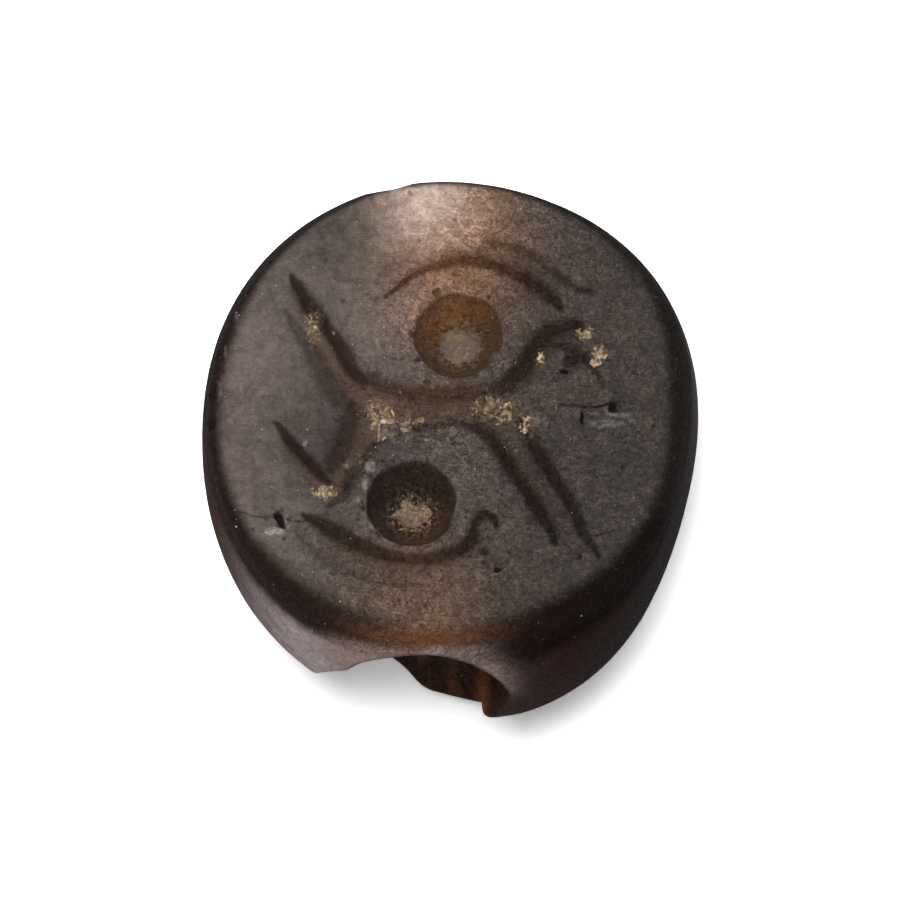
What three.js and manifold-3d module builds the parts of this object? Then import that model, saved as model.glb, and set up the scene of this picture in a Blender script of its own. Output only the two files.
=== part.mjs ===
// Pierced stone stamp seal: one carved stone with a bore for a cord, and the
// earthy crusts that have settled in its engraving.
// Millimetres, +Z up. The engraved face is on top and the bore runs along Y.
// The origin is on the worn flat of the back, under the middle of the stone.

import * as THREE from 'three';
import { mergeVertices } from 'three/addons/utils/BufferGeometryUtils.js';
import Module from 'manifold-3d';

const wasm = await Module();
wasm.setup();

// Stone
const STONE_WIDTH = 20.0; // across the bore, at the girth
const STONE_LENGTH = 21.0; // along the bore, at the girth
const STONE_HEIGHT = 12.0; // worn flat of the back to the engraved face
// Hand-ground outline, every 30 degrees counter-clockwise from +X: the girth's
// share of a true ellipse, and how far the face's edge lies inside the girth
const GIRTH_LOBES = [1.0, 1.05, 1.03, 1.02, 1.035, 1.02, 0.99, 1.0, 1.02, 1.055, 1.06, 0.995];
const FACE_INSETS = [0.55, 0.7, 0.75, 0.85, 0.95, 0.7, 0.25, 0.15, 0.35, 1.25, 1.15, 0.25];
const GIRTH_DROP = 4.5; // engraved face down to the widest level
const EDGE_RADIUS = 0.5; // rounding between the face and the flank
const BACK_FLAT_RADIUS = 3.4; // worn flat that the stone rests on
const FLANK_POWER = 2.0; // how late the flank turns in towards the face
const BACK_POWER = 2.3; // squareness of the back's curve, where 2 is an ellipse

// Bore: drilled from both ends, so it is widest at its mouths
const WEB_THICKNESS = 1.4; // stone left between the engraved face and the bore's waist
const BORE_WAIST_RADIUS = 3.1;
const BORE_MOUTH_RADIUS = 3.2;
const BORE_MOUTH_POWER = 2.5; // how suddenly the bore opens towards its mouths
const BORE_OFFSET = -0.47; // bore's middle from the stone's middle, along X
const BORE_TURN = -1.8; // degrees between the bore and Y, about Z

// Old breaks at the near mouth of the bore: rounded hollows, leaned about Y and then
// turned about Z by some degrees, whose middles lie beside the bore's axis, past the
// stone's near end and below the axis
const DEEP_CHIP = {
  beside: -2.1,
  past: 0.35,
  below: 4.25,
  lean: 0,
  turn: 6,
  radii: [2.5, 5.0, 5.25],
};
const WIDE_CHIP = {
  beside: -1.0,
  past: 1.4,
  below: 5.1,
  lean: -16,
  turn: 49,
  radii: [5.2, 5.45, 2.4],
};
const LIP_CHIP = {
  beside: -0.5,
  past: 0.95,
  below: -2.85,
  lean: 0,
  turn: 0,
  radii: [0.8, 1.25, 0.45],
};

// Two drilled cups: a bowl of CUP_RADIUS with a flat in its bottom
const CUP_RADIUS = 1.77;
const CUP_DEPTH = 0.85;
const CUP_FLAT_RADIUS = 0.95;
const UPPER_CUP = [0.4, 3.13];
const LOWER_CUP = [-1.5, -4.08];

// Wheel-cut channels: each row of a route is x, y, width and depth
const CUT_DEPTH = 0.4;
const TIP_DEPTH = 0.12; // where a channel runs out to the face
const ARC_DEPTH = 0.28;
const FLOOR_SHARE = 0.55; // flat floor's width as a share of the channel's width
const BAR_LEFT_END = [-3.2, 0.05];
const BAR_RIGHT_END = [2.1, 0.0];
const UPPER_LEFT_SPOT = [-5.4, 3.4];
const UPPER_RIGHT_HEAD = [5.3, 3.0];
const LOWER_LEFT_FOOT = [-5.3, -3.9];
const BAR = [
  [...BAR_LEFT_END, 1.7, CUT_DEPTH],
  [-0.8, -0.1, 1.3, CUT_DEPTH],
  [...BAR_RIGHT_END, 1.6, CUT_DEPTH],
];
const LIMB_UPPER_LEFT = [
  [-6.3, 5.2, 0.5, TIP_DEPTH],
  [...UPPER_LEFT_SPOT, 1.2, CUT_DEPTH],
  [-3.4, 0.2, 1.4, CUT_DEPTH],
];
const LIMB_LOWER_LEFT = [
  [-3.1, -0.1, 1.5, CUT_DEPTH],
  [-3.9, -2.2, 1.6, CUT_DEPTH],
  [...LOWER_LEFT_FOOT, 1.3, CUT_DEPTH],
  [-5.9, -4.5, 0.6, TIP_DEPTH],
];
const GROOVE_LEFT = [
  [-7.1, -0.8, 0.6, TIP_DEPTH],
  [-6.3, -1.85, 1.0, ARC_DEPTH],
  [-5.5, -3.0, 1.0, ARC_DEPTH],
];
const LIMB_UPPER_RIGHT = [
  [2.2, 0.0, 1.4, CUT_DEPTH],
  [3.4, 1.7, 1.4, CUT_DEPTH],
  [4.4, 2.95, 1.3, CUT_DEPTH],
  [...UPPER_RIGHT_HEAD, 1.2, CUT_DEPTH],
  [6.2, 2.2, 0.7, TIP_DEPTH],
];
const LIMB_LOWER_RIGHT = [
  [2.0, -0.2, 1.4, CUT_DEPTH],
  [3.0, -2.3, 1.5, CUT_DEPTH],
  [4.1, -4.3, 1.2, CUT_DEPTH],
  [5.4, -6.3, 0.5, TIP_DEPTH],
];
const ARC_UPPER = [
  [-2.6, 5.1, 0.5, TIP_DEPTH],
  [-1.2, 6.15, 1.0, ARC_DEPTH],
  [0.7, 6.7, 1.1, ARC_DEPTH],
  [2.6, 6.3, 1.1, ARC_DEPTH],
  [4.2, 5.4, 0.9, ARC_DEPTH],
  [5.6, 4.5, 0.5, TIP_DEPTH],
];
const ARC_LOWER = [
  [-5.7, -5.1, 0.5, TIP_DEPTH],
  [-4.3, -6.0, 0.9, ARC_DEPTH],
  [-2.7, -6.65, 1.1, ARC_DEPTH],
  [-1.1, -6.95, 1.1, ARC_DEPTH],
  [0.3, -6.6, 1.0, ARC_DEPTH],
  [1.4, -5.6, 0.9, ARC_DEPTH],
  [1.7, -4.8, 0.4, TIP_DEPTH],
];
const CHANNELS = [
  BAR,
  LIMB_UPPER_LEFT,
  LIMB_LOWER_LEFT,
  GROOVE_LEFT,
  LIMB_UPPER_RIGHT,
  LIMB_LOWER_RIGHT,
  ARC_UPPER,
  ARC_LOWER,
];

// Crusts: low mounds on the floors of the cuts, with half sizes along X and Y
const CRUST_CLEARANCE = 0.1; // crust's edge to the foot of the cup's wall
const BAR_CRUST_INSET = 0.7; // end of the bar to the middle of its crust
const CUP_CRUST_HEIGHT = 0.2;
const CUT_CRUST_HEIGHT = 0.18;
const BAR_CRUST_SIZE = [0.6, 0.38];
const LIMB_CRUST_SIZE = [0.3, 0.3];

// Fineness of the facets
const OUTLINE_STEPS = 84;
const EDGE_STEPS = 3;
const FLANK_STEPS = 5;
const BACK_STEPS = 10;
const BORE_SIDES = 36;
const BORE_STEPS = 14;
const CHIP_SIDES = 24;
const CUP_SIDES = 36;
const CUP_STEPS = 5;
const CHANNEL_STEPS = 18;
const CRUST_SIDES = 14;
const CUT_LIFT = 0.6; // how far every cutting shape stands above the face

const STONE_MATERIAL = new THREE.MeshStandardMaterial({
  color: 0x574d49,
  roughness: 0.55,
  metalness: 0,
});
const CRUST_COLOUR = 0xa08c64;

// Smooth closed curve through values given at equal angles
function aroundOutline(values, angle) {
  const count = values.length;
  return values.reduce((sum, value, index) => {
    const offset = angle - (2 * Math.PI * index) / count;
    const half = Math.sin(offset / 2);
    const weight = Math.abs(half) < 1e-6
      ? 1
      : (Math.sin((count * offset) / 2) * Math.cos(offset / 2)) / (count * half);
    return sum + value * weight;
  }, 0);
}

function girthRadius(angle) {
  const ellipse = Math.hypot(
    (STONE_WIDTH / 2) * Math.cos(angle),
    (STONE_LENGTH / 2) * Math.sin(angle),
  );
  return ellipse * aroundOutline(GIRTH_LOBES, angle);
}

function faceRadius(angle) {
  return girthRadius(angle) - aroundOutline(FACE_INSETS, angle);
}

// Closed solid from rings of points that are stacked from bottom to top
function solidFromRings(rings) {
  const sides = rings[0].length;
  const positions = [];
  const triangles = [];
  rings.forEach((ring) => ring.forEach((point) => positions.push(...point)));
  const middle = (ring) => ring
    .reduce((sum, point) => sum.map((value, axis) => value + point[axis] / sides), [0, 0, 0]);
  const first = positions.length / 3;
  positions.push(...middle(rings[0]));
  positions.push(...middle(rings[rings.length - 1]));
  const top = (rings.length - 1) * sides;
  for (let side = 0; side < sides; side += 1) {
    const next = (side + 1) % sides;
    triangles.push(first, next, side);
    triangles.push(first + 1, top + side, top + next);
    for (let level = 0; level < rings.length - 1; level += 1) {
      const here = level * sides;
      const above = here + sides;
      triangles.push(here + side, here + next, above + next);
      triangles.push(here + side, above + next, above + side);
    }
  }
  const geometry = new THREE.BufferGeometry();
  geometry.setAttribute('position', new THREE.Float32BufferAttribute(positions, 3));
  geometry.setIndex(triangles);
  return geometry;
}

function toManifold(geometry) {
  const bare = geometry.clone();
  bare.deleteAttribute('normal');
  bare.deleteAttribute('uv');
  const merged = mergeVertices(bare, 1e-4);
  return new wasm.Manifold(new wasm.Mesh({
    numProp: 3,
    vertProperties: new Float32Array(merged.attributes.position.array),
    triVerts: new Uint32Array(merged.index.array),
  }));
}

function fromManifold(solid) {
  const mesh = solid.getMesh();
  const geometry = new THREE.BufferGeometry();
  geometry.setAttribute('position', new THREE.BufferAttribute(mesh.vertProperties, 3));
  geometry.setIndex(new THREE.BufferAttribute(mesh.triVerts, 1));
  return geometry;
}

// Level and radii of the stone's profile, from the worn flat up to the face
function stoneProfile() {
  const girthLevel = STONE_HEIGHT - GIRTH_DROP;
  const edgeLevel = STONE_HEIGHT - EDGE_RADIUS;
  const levels = [];
  for (let step = 0; step <= BACK_STEPS; step += 1) {
    const turn = (Math.PI / 2) * (step / BACK_STEPS);
    const drop = Math.cos(turn) ** (2 / BACK_POWER);
    const reach = Math.sin(turn) ** (2 / BACK_POWER);
    levels.push({
      z: girthLevel * (1 - drop),
      radius: (angle) => BACK_FLAT_RADIUS + (girthRadius(angle) - BACK_FLAT_RADIUS) * reach,
    });
  }
  for (let step = 1; step <= FLANK_STEPS; step += 1) {
    const rise = step / FLANK_STEPS;
    levels.push({
      z: girthLevel + (edgeLevel - girthLevel) * rise,
      radius: (angle) => THREE.MathUtils
        .lerp(girthRadius(angle), faceRadius(angle), rise ** FLANK_POWER),
    });
  }
  for (let step = 1; step <= EDGE_STEPS; step += 1) {
    const turn = (Math.PI / 2) * (step / EDGE_STEPS);
    levels.push({
      z: edgeLevel + EDGE_RADIUS * Math.sin(turn),
      radius: (angle) => faceRadius(angle) - EDGE_RADIUS * (1 - Math.cos(turn)),
    });
  }
  return levels;
}

function stoneBlank() {
  const rings = stoneProfile().map(({ z, radius }) => {
    const ring = [];
    for (let step = 0; step < OUTLINE_STEPS; step += 1) {
      const angle = (2 * Math.PI * step) / OUTLINE_STEPS;
      ring.push([radius(angle) * Math.cos(angle), radius(angle) * Math.sin(angle), z]);
    }
    return ring;
  });
  return toManifold(solidFromRings(rings));
}

// Moves a cutting shape that was drawn about the bore's axis into the stone
function placeAlongBore(geometry) {
  geometry.rotateZ(THREE.MathUtils.degToRad(BORE_TURN));
  geometry.translate(BORE_OFFSET, 0, STONE_HEIGHT - WEB_THICKNESS - BORE_WAIST_RADIUS);
  return toManifold(geometry);
}

// The bore goes on past the stone at both ends, and opens at the same rate there
function boreCutter() {
  const mouth = STONE_LENGTH / 2;
  const reach = mouth + BORE_WAIST_RADIUS;
  const profile = [new THREE.Vector2(0, -reach)];
  for (let step = 0; step <= BORE_STEPS; step += 1) {
    const along = reach * (-1 + (2 * step) / BORE_STEPS);
    const opening = (Math.abs(along) / mouth) ** BORE_MOUTH_POWER;
    const radius = THREE.MathUtils.lerp(BORE_WAIST_RADIUS, BORE_MOUTH_RADIUS, opening);
    profile.push(new THREE.Vector2(radius, along));
  }
  profile.push(new THREE.Vector2(0, reach));
  return placeAlongBore(new THREE.LatheGeometry(profile, BORE_SIDES));
}

function chipCutter({ beside, past, below, lean, turn, radii }) {
  const geometry = new THREE.SphereGeometry(1, CHIP_SIDES, CHIP_SIDES / 2);
  geometry.scale(...radii);
  geometry.rotateY(THREE.MathUtils.degToRad(lean));
  geometry.rotateZ(THREE.MathUtils.degToRad(turn));
  geometry.translate(beside, -STONE_LENGTH / 2 - past, -below);
  return placeAlongBore(geometry);
}

// A bowl that meets the face at CUP_RADIUS and its flat at CUP_FLAT_RADIUS
function cupCutter([x, y]) {
  const profile = [new THREE.Vector2(0, -CUP_DEPTH)];
  for (let step = 0; step <= CUP_STEPS; step += 1) {
    const turn = (Math.PI / 2) * (step / CUP_STEPS);
    const out = CUP_FLAT_RADIUS + (CUP_RADIUS - CUP_FLAT_RADIUS) * Math.sin(turn);
    profile.push(new THREE.Vector2(out, -CUP_DEPTH * Math.cos(turn)));
  }
  profile.push(new THREE.Vector2(CUP_RADIUS, CUT_LIFT));
  profile.push(new THREE.Vector2(0, CUT_LIFT));
  const geometry = new THREE.LatheGeometry(profile, CUP_SIDES);
  geometry.rotateX(Math.PI / 2);
  geometry.translate(x, y, STONE_HEIGHT);
  return toManifold(geometry);
}

// A flat-floored cut that follows a route on the face, with its own width and depth at each row
function channelCutter(route) {
  const path = new THREE.SplineCurve(route.map(([x, y]) => new THREE.Vector2(x, y)));
  const rings = [];
  for (let step = 0; step <= CHANNEL_STEPS; step += 1) {
    const along = step / CHANNEL_STEPS;
    const spot = path.getPoint(along);
    const heading = path.getTangent(along);
    const place = along * (route.length - 1);
    const row = Math.min(Math.floor(place), route.length - 2);
    const share = place - row;
    const [width, depth] = [2, 3]
      .map((column) => THREE.MathUtils.lerp(route[row][column], route[row + 1][column], share));
    const slope = (width * (1 - FLOOR_SHARE)) / 2 / depth;
    const section = [
      [width / 2 + slope * CUT_LIFT, CUT_LIFT],
      [-width / 2 - slope * CUT_LIFT, CUT_LIFT],
      [(-width * FLOOR_SHARE) / 2, -depth],
      [(width * FLOOR_SHARE) / 2, -depth],
    ];
    rings.push(section.map(([side, up]) => [
      spot.x - heading.y * side,
      spot.y + heading.x * side,
      STONE_HEIGHT + up,
    ]));
  }
  return toManifold(solidFromRings(rings));
}

function stoneBody() {
  const cutters = [
    boreCutter(),
    ...[DEEP_CHIP, WIDE_CHIP, LIP_CHIP].map(chipCutter),
    ...[UPPER_CUP, LOWER_CUP].map(cupCutter),
    ...CHANNELS.map(channelCutter),
  ];
  return fromManifold(cutters.reduce((stone, cutter) => stone.subtract(cutter), stoneBlank()));
}

// A low mound with a lobed outline and a flat underside, lying on the floor at a given depth
function crustMound([x, y], [across, along], height, floorDepth, lobes) {
  const shells = [[1, 0], [0.86, 0.55], [0.5, 0.92]];
  const rings = shells.map(([spread, rise]) => {
    const ring = [];
    for (let step = 0; step < CRUST_SIDES; step += 1) {
      const angle = (2 * Math.PI * step) / CRUST_SIDES;
      const lobe = spread * (0.9 + 0.1 * Math.cos(lobes * angle));
      ring.push([
        x + across * lobe * Math.cos(angle),
        y + along * lobe * Math.sin(angle),
        STONE_HEIGHT - floorDepth + height * rise,
      ]);
    }
    return ring;
  });
  return solidFromRings(rings);
}

const cupCrustSize = [CUP_FLAT_RADIUS - CRUST_CLEARANCE, CUP_FLAT_RADIUS - CRUST_CLEARANCE];

function besideBarEnd([x, y], side) {
  return [x - side * BAR_CRUST_INSET, y];
}

const barLeft = besideBarEnd(BAR_LEFT_END, -1);
const barRight = besideBarEnd(BAR_RIGHT_END, 1);
const CRUSTS = {
  crust_upper_cup: [UPPER_CUP, cupCrustSize, CUP_CRUST_HEIGHT, CUP_DEPTH, 3],
  crust_lower_cup: [LOWER_CUP, cupCrustSize, CUP_CRUST_HEIGHT, CUP_DEPTH, 5],
  crust_bar_left: [barLeft, BAR_CRUST_SIZE, CUT_CRUST_HEIGHT, CUT_DEPTH, 4],
  crust_bar_right: [barRight, BAR_CRUST_SIZE, CUT_CRUST_HEIGHT, CUT_DEPTH, 3],
  crust_limb_upper_left: [UPPER_LEFT_SPOT, LIMB_CRUST_SIZE, CUT_CRUST_HEIGHT, CUT_DEPTH, 5],
  crust_limb_upper_right: [UPPER_RIGHT_HEAD, LIMB_CRUST_SIZE, CUT_CRUST_HEIGHT, CUT_DEPTH, 3],
  crust_limb_lower_left: [LOWER_LEFT_FOOT, LIMB_CRUST_SIZE, CUT_CRUST_HEIGHT, CUT_DEPTH, 4],
};

const seal = new THREE.Group();

function addPiece(name, geometry, material) {
  geometry.computeVertexNormals();
  const mesh = new THREE.Mesh(geometry, material);
  mesh.name = name;
  seal.add(mesh);
}

addPiece('stone_body', stoneBody(), STONE_MATERIAL);
Object.entries(CRUSTS).forEach(([name, mound]) => {
  const material = new THREE.MeshStandardMaterial({
    color: CRUST_COLOUR,
    roughness: 0.95,
    metalness: 0,
  });
  addPiece(name, crustMound(...mound), material);
});

export default seal;
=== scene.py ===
# Pierced stone stamp seal: a dark carved agate with earthy crusts in its engraving.
# Sizes are millimetres with +Z up, and become metres where a mesh, lamp or camera is
# made. Places on the engraved face are x, y from the middle of the stone.

import math
from types import SimpleNamespace

import bpy
import numpy as np
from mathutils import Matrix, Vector


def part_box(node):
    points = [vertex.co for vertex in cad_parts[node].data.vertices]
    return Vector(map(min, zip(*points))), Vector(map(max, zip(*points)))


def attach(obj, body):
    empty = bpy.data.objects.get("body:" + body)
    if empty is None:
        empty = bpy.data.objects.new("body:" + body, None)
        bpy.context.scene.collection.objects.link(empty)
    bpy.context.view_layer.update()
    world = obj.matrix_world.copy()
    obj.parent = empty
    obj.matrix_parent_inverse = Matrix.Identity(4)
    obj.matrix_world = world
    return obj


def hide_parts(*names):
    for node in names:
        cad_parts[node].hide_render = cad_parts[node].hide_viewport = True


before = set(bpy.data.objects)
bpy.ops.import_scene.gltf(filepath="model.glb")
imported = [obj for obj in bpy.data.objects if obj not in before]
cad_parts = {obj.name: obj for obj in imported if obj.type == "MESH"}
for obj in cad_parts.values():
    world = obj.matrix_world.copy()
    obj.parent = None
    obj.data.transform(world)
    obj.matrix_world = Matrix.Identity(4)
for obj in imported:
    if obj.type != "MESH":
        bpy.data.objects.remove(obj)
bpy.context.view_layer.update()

MM = 0.001
TURN = 2 * math.pi

# Stone
stone_low, stone_high = (np.array(corner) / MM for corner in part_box("stone_body"))
STONE_WIDTH = 20.0
STONE_LENGTH = 21.0
STONE_HEIGHT = stone_high[2] - stone_low[2]
GIRTH_LOBES = [1.0, 1.05, 1.03, 1.02, 1.035, 1.02, 0.99, 1.0, 1.02, 1.055, 1.06, 0.995]
FACE_INSETS = [0.55, 0.7, 0.75, 0.85, 0.95, 0.7, 0.25, 0.15, 0.35, 1.25, 1.15, 0.25]
GIRTH_DROP = 4.5
EDGE_RADIUS = 0.5
EDGE_BLEND = 0.4  # width over which the face rolls into the flank
FRONT_BLEND = 1.5  # the same at the near end, where the edge is worn round
BACK_FLAT_RADIUS = 3.4
FLANK_POWER = 2.0
BACK_POWER = 2.3
GIRTH_LEVEL = STONE_HEIGHT - GIRTH_DROP

# Bore
WEB_THICKNESS = 1.4
BORE_WAIST_RADIUS = 3.1
BORE_MOUTH_RADIUS = 3.2
BORE_MOUTH_POWER = 2.5
BORE_OFFSET = -0.47
BORE_TURN = math.radians(-1.8)
BORE_LEVEL = STONE_HEIGHT - WEB_THICKNESS - BORE_WAIST_RADIUS
LIP_BLEND = 0.35

# Breaks at the near mouth: beside the bore's axis, past the stone's near end, below the
# axis, lean about Y and turn about Z in degrees, radii, and width of the worn edge
BREAKS = [
    (-2.1, 0.35, 4.25, 0, 6, (2.5, 5.0, 5.25), 0.3),
    (-1.2, 1.6, 5.1, -16, 49, (5.2, 5.45, 2.4), 0.45),
    (-0.5, 0.95, -2.85, 0, 0, (0.8, 1.25, 0.45), 0.15),
]

# Small flakes off the rim of the face: x, y, depth of the middle, and half sizes
RIM_FLAKES = [
    (-2.6, 10.35, 0.4, 1.3, 0.95, 1.8),
    (-9.45, 0.75, 0.05, 0.28, 0.35, 0.45),
    (-9.2, 2.4, 0.05, 0.25, 0.4, 0.4),
    (-8.75, 3.95, 0.05, 0.25, 0.3, 0.35),
    (-9.5, -0.6, 0.05, 0.2, 0.3, 0.35),
    (-9.35, 1.6, 0.0, 0.15, 0.2, 0.25),
]

# Drilled cups
CUP_RADIUS = 1.77
CUP_DEPTH = 0.85
CUP_FLAT_RADIUS = 0.95
UPPER_CUP = (0.42, 3.12)
LOWER_CUP = (-1.46, -4.05)

# Broad channels: the softness of the walls on the left and on the right of the route,
# then the route's rows of x, y, width and depth
CHANNELS = {
    "bar": ((0.35, 0.5), [
        (-3.3, 0.1, 1.6, 0.3), (-0.8, 0.0, 1.5, 0.3), (2.3, 0.05, 1.6, 0.3),
    ]),
    "upper left limb": ((0.2, 0.75), [
        (-6.45, 5.1, 0.5, 0.05), (-5.6, 3.65, 1.2, 0.22), (-4.7, 2.0, 1.3, 0.26), (-3.6, 0.3, 1.3, 0.28),
    ]),
    "lower left limb": ((0.35, 0.7), [
        (-3.2, -0.2, 1.3, 0.28), (-3.8, -1.7, 1.5, 0.26), (-4.5, -3.0, 1.2, 0.24), (-5.1, -4.1, 0.7, 0.06),
    ]),
    "groove beside the lower left limb": ((0.25, 0.9), [
        (-7.1, -0.8, 0.6, 0.04), (-6.3, -1.85, 1.0, 0.18), (-5.4, -3.05, 1.0, 0.2), (-4.9, -3.9, 0.7, 0.1),
    ]),
    "upper right limb": ((0.3, 0.7), [
        (2.3, 0.2, 1.4, 0.28), (3.3, 1.75, 1.3, 0.26), (4.4, 3.05, 1.25, 0.24), (5.5, 3.0, 1.0, 0.12),
        (6.1, 2.4, 0.6, 0.04),
    ]),
    "lower right limb": ((0.35, 0.35), [
        (2.0, -0.2, 1.6, 0.28), (3.0, -2.0, 1.75, 0.26), (4.0, -3.75, 1.6, 0.22), (4.9, -5.3, 1.3, 0.12),
        (5.6, -6.5, 0.8, 0.02),
    ]),
    "upper arc": ((0.7, 0.3), [
        (-2.75, 5.1, 0.5, 0.03), (-1.3, 6.2, 0.9, 0.12), (0.7, 6.75, 1.1, 0.16), (2.7, 6.35, 1.2, 0.18),
        (4.2, 5.4, 1.1, 0.16), (5.3, 4.6, 0.7, 0.04),
    ]),
    "lower arc": ((0.25, 0.9), [
        (-5.9, -5.0, 0.6, 0.05), (-4.4, -6.05, 1.2, 0.18), (-2.7, -6.75, 1.2, 0.18),
        (-1.0, -6.95, 1.1, 0.14), (0.5, -6.55, 1.0, 0.12), (1.5, -5.6, 1.0, 0.12), (1.7, -4.9, 0.6, 0.08),
    ]),
}

# Narrow cuts at the feet of the walls: how dark their painted shade is, then rows of x, y, width and depth
CUTS = {
    "upper left limb": (1.0, [
        (-6.3, 5.7, 0.08, 0.03), (-5.95, 5.05, 0.4, 0.22), (-5.5, 4.35, 0.5, 0.26),
        (-4.9, 3.55, 0.42, 0.2), (-4.2, 2.4, 0.45, 0.2), (-3.75, 1.6, 0.4, 0.18), (-3.3, 1.15, 0.25, 0.1),
    ]),
    "upper left limb, far edge": (0.6, [
        (-6.55, 4.2, 0.1, 0.02), (-5.85, 3.0, 0.45, 0.07), (-5.3, 2.0, 0.6, 0.08), (-4.8, 1.0, 0.7, 0.06),
        (-4.25, 0.2, 0.5, 0.02),
    ]),
    "bar, upper edge": (0.8, [
        (-3.3, 1.3, 0.2, 0.05), (-2.7, 0.95, 0.4, 0.12), (-1.5, 0.68, 0.42, 0.16), (0.0, 0.66, 0.4, 0.15),
        (1.3, 0.75, 0.42, 0.15), (2.3, 1.0, 0.5, 0.15),
    ]),
    "bar, lower edge": (0.7, [
        (-2.0, -1.0, 0.15, 0.04), (-1.2, -0.9, 0.22, 0.1), (-0.4, -0.76, 0.22, 0.1),
        (0.3, -0.58, 0.25, 0.1), (1.0, -0.72, 0.35, 0.12),
    ]),
    "upper right limb": (0.85, [
        (2.1, 0.95, 0.3, 0.1), (2.75, 1.5, 0.58, 0.2), (3.3, 2.35, 0.6, 0.2), (3.9, 3.15, 0.55, 0.18),
        (4.5, 3.58, 0.4, 0.15), (5.05, 3.6, 0.3, 0.08), (5.4, 3.4, 0.1, 0.02),
    ]),
    "upper arc, inner edge": (0.9, [
        (-2.5, 4.7, 0.06, 0.02), (-2.0, 5.15, 0.14, 0.06), (-1.3, 5.7, 0.22, 0.1),
        (-0.4, 6.08, 0.28, 0.12), (0.6, 6.28, 0.34, 0.14), (1.7, 6.15, 0.36, 0.14),
        (2.7, 5.75, 0.38, 0.14), (3.5, 5.2, 0.5, 0.16), (4.2, 4.68, 0.45, 0.12), (4.58, 4.2, 0.12, 0.04),
    ]),
    "upper arc, outer edge on the left": (0.35, [
        (-2.85, 5.3, 0.1, 0.02), (-2.6, 5.8, 0.3, 0.05), (-2.1, 6.25, 0.3, 0.05), (-1.4, 6.7, 0.2, 0.02),
    ]),
    "upper arc, outer edge on the right": (0.65, [
        (1.5, 7.15, 0.1, 0.02), (2.7, 6.85, 0.25, 0.06), (3.6, 6.35, 0.28, 0.07), (4.5, 5.65, 0.24, 0.06),
        (5.2, 5.15, 0.15, 0.04), (5.75, 4.98, 0.25, 0.14),
    ]),
    "lower left groove": (0.9, [
        (-6.95, -0.6, 0.1, 0.03), (-6.5, -1.15, 0.3, 0.12), (-5.9, -1.85, 0.34, 0.14),
        (-5.3, -2.55, 0.36, 0.14), (-4.8, -3.05, 0.2, 0.05),
    ]),
    "lower left limb, inner edge": (0.7, [
        (-3.0, -1.55, 0.2, 0.08), (-3.5, -2.35, 0.3, 0.12), (-3.95, -3.05, 0.35, 0.14),
        (-4.1, -3.7, 0.3, 0.1), (-4.7, -4.2, 0.15, 0.04),
    ]),
    "lower left limb, outer edge": (0.7, [
        (-3.8, 0.1, 0.5, 0.06), (-4.0, -0.8, 0.6, 0.08), (-4.3, -1.7, 0.6, 0.08), (-4.7, -2.5, 0.4, 0.06),
    ]),
    "lower right limb, inner edge": (0.9, [
        (1.1, -0.8, 0.3, 0.12), (1.7, -1.35, 0.45, 0.18), (2.3, -2.2, 0.5, 0.2), (2.9, -3.2, 0.45, 0.18),
        (3.5, -4.2, 0.45, 0.16), (4.0, -5.1, 0.35, 0.08), (4.3, -5.8, 0.1, 0.02),
    ]),
    "lower right limb, outer edge": (0.85, [
        (2.9, -0.5, 0.25, 0.08), (3.35, -1.3, 0.42, 0.16), (3.95, -2.4, 0.42, 0.17),
        (4.6, -3.5, 0.4, 0.16), (5.1, -4.5, 0.36, 0.14), (5.55, -5.5, 0.28, 0.1), (6.05, -6.3, 0.1, 0.02),
    ]),
    "lower arc, inner edge": (0.95, [
        (-5.75, -4.6, 0.1, 0.04), (-5.1, -4.92, 0.4, 0.22), (-4.4, -5.3, 0.5, 0.3),
        (-3.6, -5.75, 0.46, 0.26), (-2.8, -6.12, 0.36, 0.18), (-1.8, -6.38, 0.32, 0.14),
        (-0.7, -6.42, 0.32, 0.14), (0.3, -6.15, 0.34, 0.14), (0.95, -5.65, 0.34, 0.14),
        (1.15, -5.0, 0.3, 0.12), (1.45, -4.55, 0.3, 0.1), (1.85, -4.75, 0.2, 0.05),
        (1.95, -5.05, 0.1, 0.02),
    ]),
    "lower arc, outer edge": (0.4, [
        (-6.2, -5.2, 0.1, 0.03), (-5.4, -6.05, 0.24, 0.06), (-4.5, -6.75, 0.24, 0.06),
        (-3.4, -7.2, 0.24, 0.05), (-2.2, -7.45, 0.2, 0.04), (-0.8, -7.55, 0.1, 0.02),
    ]),
    "curl under the upper right limb": (0.75, [
        (4.2, 2.75, 0.15, 0.03), (4.8, 2.55, 0.3, 0.07), (5.35, 2.25, 0.3, 0.08), (5.75, 1.75, 0.22, 0.07),
        (6.2, 1.15, 0.1, 0.03),
    ]),
}

CUT_SHARE = 0.55  # how deep the cuts go below the channels, as a share of their rows
CHANNEL_REACH = 1.2  # how far from its route a stroke is worked out
CUT_REACH = 0.8
CRACK_REACH = 0.4

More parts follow.
